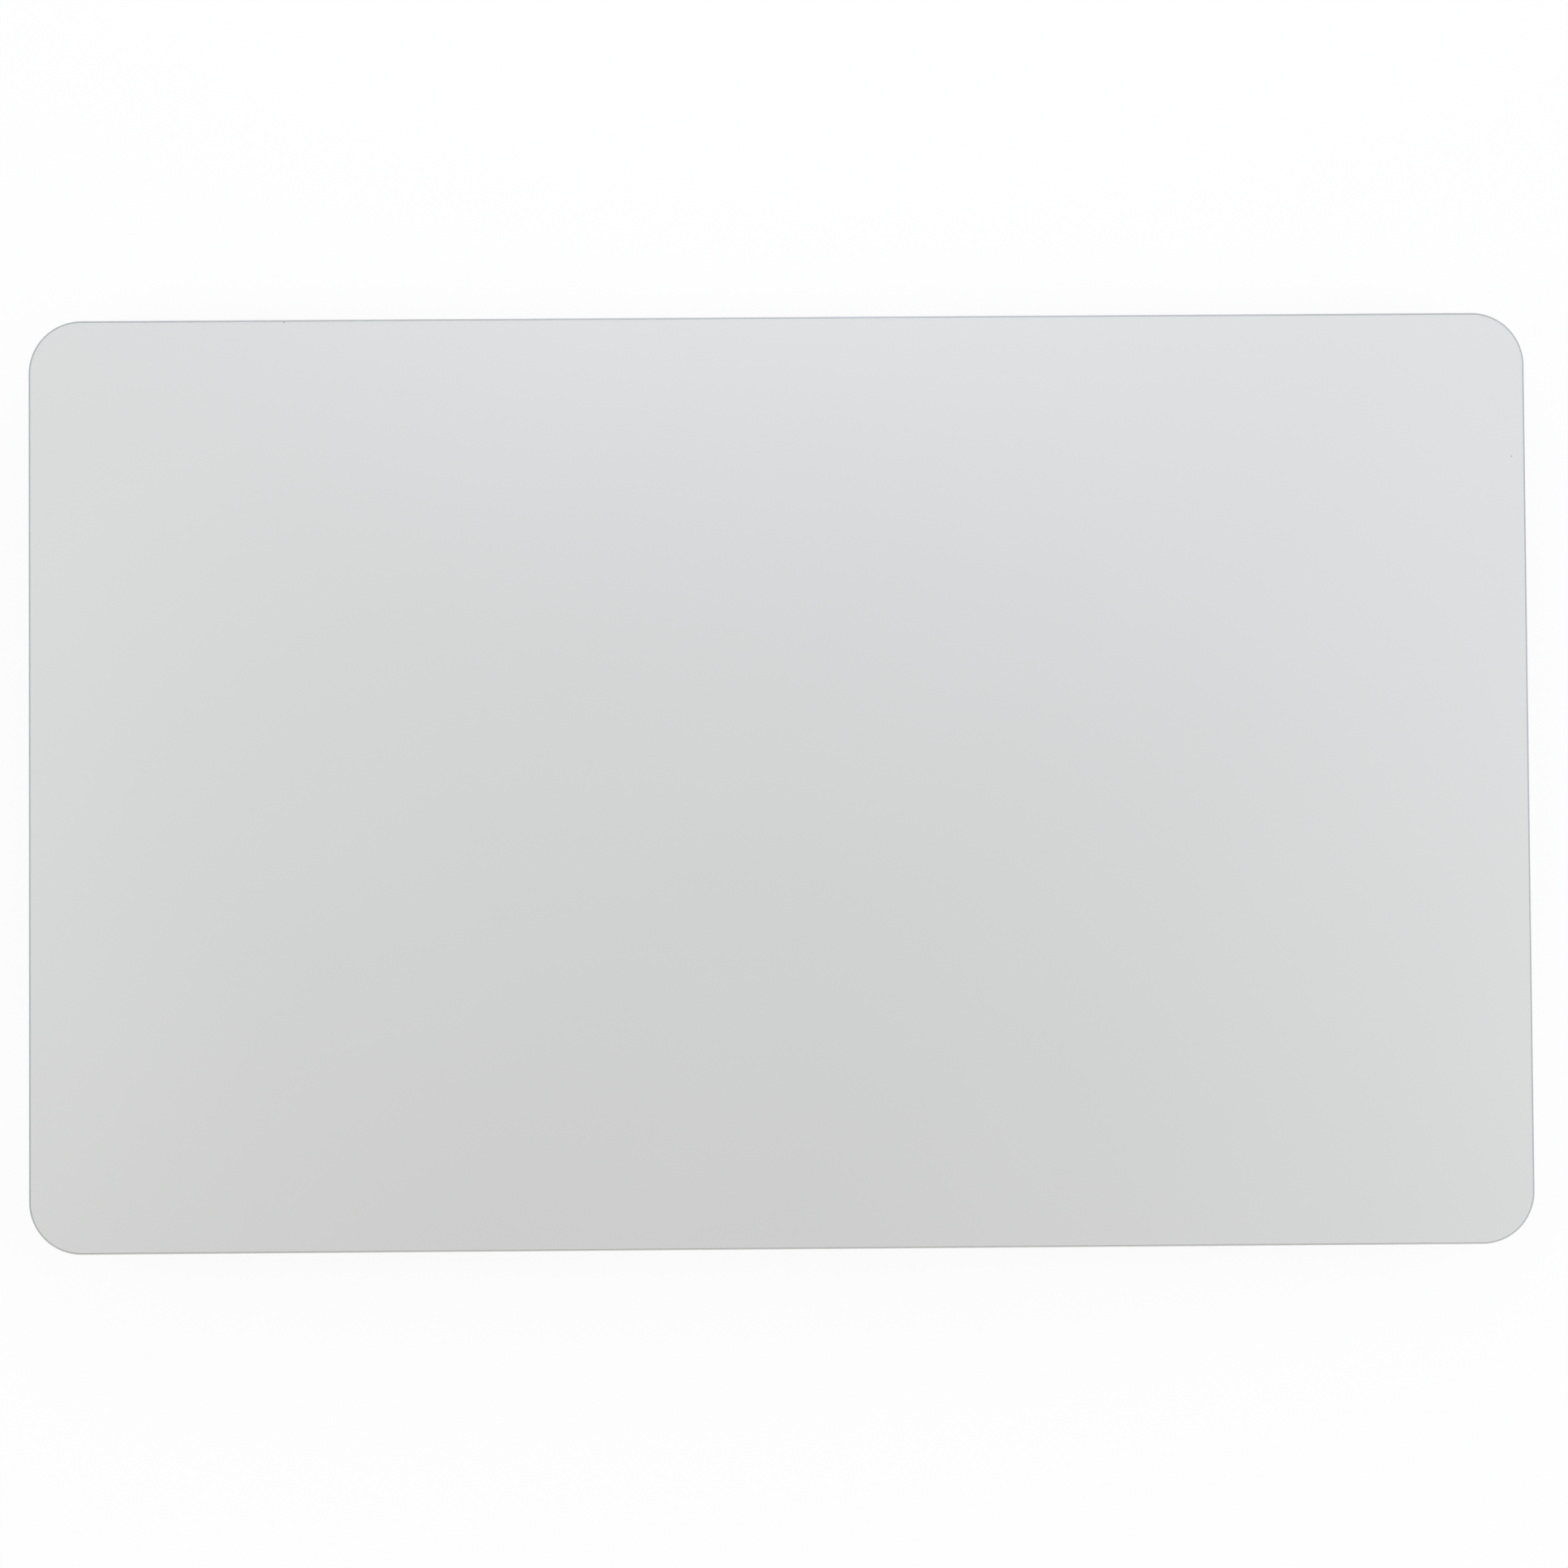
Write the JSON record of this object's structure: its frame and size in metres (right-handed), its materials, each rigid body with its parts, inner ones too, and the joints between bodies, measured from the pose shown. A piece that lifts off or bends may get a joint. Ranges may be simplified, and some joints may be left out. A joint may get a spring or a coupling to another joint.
{
  "type": "laptop trackpad module",
  "caption": "Glass-faced laptop trackpad with a force-sensing leaf-beam suspension, a haptic electromagnet and a board with flip-latch sockets.",
  "frame": {"origin": "under the middle of the pad, on the plane of the mounting posts", "axes": "+X to the user's right, +Y away from the user, +Z out of the touch face"},
  "size_m": [0.134, 0.0834, 0.005],
  "materials": {
    "glass_face": "satin etched, back-painted silver grey",
    "bond_clear": "adhesive sheet",
    "board_black": "black solder mask",
    "film_black": "matt polyester film",
    "can_tin": "tinned",
    "chip_black": "moulded epoxy",
    "ferrite_grey": "pressed powder",
    "ceramic_tan": "fired ceramic",
    "resistor_black": "lacquered ceramic",
    "socket_ivory": "moulded",
    "contact_gold": "gold plated",
    "latch_black": "moulded",
    "flex_amber": "polyimide film",
    "core_steel": "laminated electrical steel",
    "pad_amber": "polyimide",
    "screw_steel": "plain",
    "bobbin_black": "moulded",
    "wire_copper": "enamelled copper",
    "gel_clear": "silicone gel",
    "foot_steel": "stamped",
    "spring_steel": "rolled",
    "gauge_amber": "polyimide film",
    "clamp_steel": "stamped",
    "frame_steel": "stamped stainless",
    "armature_steel": "nickel plated soft iron",
    "post_steel": "turned",
    "shim_steel": "plain",
    "stop_rubber": "moulded"
  },
  "bodies": {
    "mount_frame": {"left_rail": "frame_steel", "right_rail": "frame_steel", "bridge": "frame_steel", "bridge_screws": "screw_steel", "armature_bar": "armature_steel", "armature_screws": "screw_steel", "mount_posts": "post_steel", "shim_washers": "shim_steel", "bump_stops": "stop_rubber", "clamp_plates": "clamp_steel", "clamp_screws": "screw_steel", "beam_front_left": "spring_steel", "beam_front_right": "spring_steel", "beam_back_left": "spring_steel", "beam_back_right": "spring_steel", "strain_gauges": "gauge_amber", "gauge_tails": "flex_amber"},
    "beam_feet": {"foot_plates": "foot_steel", "foot_rivets": "screw_steel"},
    "touch_plate": {"cover_glass": "glass_face", "bond_sheet": "bond_clear", "touch_board": "board_black", "insulator_film": "film_black", "shield_can": "can_tin", "force_amplifier": "chip_black", "touch_controller": "chip_black", "microcontroller": "chip_black", "haptic_driver": "chip_black", "boost_inductor": "ferrite_grey", "chip_capacitors": "ceramic_tan", "chip_resistors": "resistor_black", "bulk_capacitors": "ceramic_tan", "cable_socket": "socket_ivory", "cable_contacts": "contact_gold", "coil_socket": "socket_ivory", "coil_contacts": "contact_gold", "coil_flex": "flex_amber", "magnet_core": "core_steel", "core_pad": "pad_amber", "core_screws": "screw_steel", "coil_bobbins": "bobbin_black", "drive_coils": "wire_copper", "gel_pads": "gel_clear"},
    "cable_flap": {"cable_latch": "latch_black"},
    "coil_flap": {"coil_latch": "latch_black"}
  },
  "joints": [
    {"name": "press", "type": "slide", "parent": "mount_frame", "child": "beam_feet", "axis": [0, 0, 1], "range_m": [-0.00025, 0], "stiffness_N_per_m": 19000, "springref_m": 0.00003, "deforming": ["beam_front_left", "beam_front_right", "beam_back_left", "beam_back_right", "strain_gauges", "gauge_tails"]},
    {"name": "haptic_shift", "type": "slide", "parent": "beam_feet", "child": "touch_plate", "axis": [0, 1, 0], "range_m": [-0.0002, 0.0002], "stiffness_N_per_m": 8000, "deforming": ["gel_pads"]},
    {"name": "cable_latch_flip", "type": "hinge", "parent": "touch_plate", "child": "cable_flap", "pos_m": [-0.014, 0.0358, 0.00245], "axis": [1, 0, 0], "range_deg": [0, 95]},
    {"name": "coil_latch_flip", "type": "hinge", "parent": "touch_plate", "child": "coil_flap", "pos_m": [0.0124, -0.01565, 0.00245], "axis": [1, 0, 0], "range_deg": [0, 95]}
  ]
}
